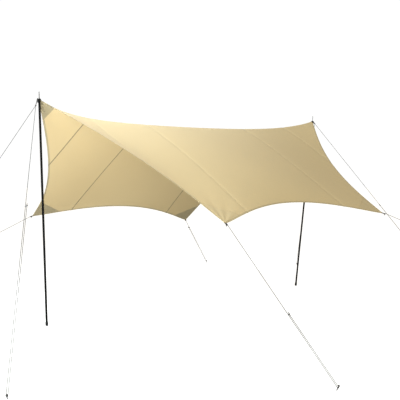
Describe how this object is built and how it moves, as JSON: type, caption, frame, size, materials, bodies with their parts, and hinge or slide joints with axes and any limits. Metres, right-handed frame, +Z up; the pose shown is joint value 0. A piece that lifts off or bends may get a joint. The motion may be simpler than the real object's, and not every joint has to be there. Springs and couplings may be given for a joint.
{
  "type": "camping tarp",
  "caption": "Open camping tarp: a six-cornered tan sheet with curved edges, stretched over ridge poles by guy lines with runners and ground pegs.",
  "frame": {"origin": "on the ground at the middle of the pitched tarp's footprint, under the middle of the ridge", "axes": "+Z up; +X along the ridge from the near pole to the far pole; -Y toward the side that faces the viewer in the picture"},
  "size_m": [7.4616, 7.4434, 2.4631],
  "materials": {
    "canopy_fabric": "tan coated polyester, matt with a soft sheen",
    "patch_fabric": "tan coated polyester, a second layer",
    "black_webbing": "woven webbing",
    "black_painted_steel": "satin black",
    "black_rubber": "matt",
    "steel": "plain",
    "black_peg_steel": "black",
    "pale_grey_cord": "braided cord",
    "grey_alloy": "satin grey"
  },
  "bodies": {
    "root": {"canopy": "canopy_fabric", "patch_near_top": "patch_fabric", "patch_far_top": "patch_fabric", "patch_near_front": "patch_fabric", "patch_far_front": "patch_fabric", "patch_near_back": "patch_fabric", "patch_far_back": "patch_fabric", "strap_near_top": "black_webbing", "strap_far_top": "black_webbing", "strap_near_front": "black_webbing", "strap_far_front": "black_webbing", "strap_near_back": "black_webbing", "strap_far_back": "black_webbing", "pole_near_foot": "black_rubber", "pole_near_section_1": "black_painted_steel", "pole_near_section_2": "black_painted_steel", "pole_near_section_3": "black_painted_steel", "pole_near_section_4": "black_painted_steel", "pole_near_spike": "steel", "pole_far_foot": "black_rubber", "pole_far_section_1": "black_painted_steel", "pole_far_section_2": "black_painted_steel", "pole_far_section_3": "black_painted_steel", "pole_far_section_4": "black_painted_steel", "pole_far_spike": "steel", "guy_near_top": "pale_grey_cord", "guy_far_top": "pale_grey_cord", "guy_near_top_front": "pale_grey_cord", "guy_near_top_back": "pale_grey_cord", "guy_far_top_front": "pale_grey_cord", "guy_far_top_back": "pale_grey_cord", "guy_near_front": "pale_grey_cord", "guy_far_front": "pale_grey_cord", "guy_near_back": "pale_grey_cord", "guy_far_back": "pale_grey_cord", "runner_near_top_front": "grey_alloy", "runner_near_top_back": "grey_alloy", "runner_far_top_front": "grey_alloy", "runner_far_top_back": "grey_alloy", "runner_near_front": "grey_alloy", "runner_far_front": "grey_alloy", "runner_near_back": "grey_alloy", "runner_far_back": "grey_alloy", "peg_near_top_front": "black_peg_steel", "peg_near_top_back": "black_peg_steel", "peg_far_top_front": "black_peg_steel", "peg_far_top_back": "black_peg_steel", "peg_near_front": "black_peg_steel", "peg_far_front": "black_peg_steel", "peg_near_back": "black_peg_steel", "peg_far_back": "black_peg_steel"}
  },
  "joints": []
}
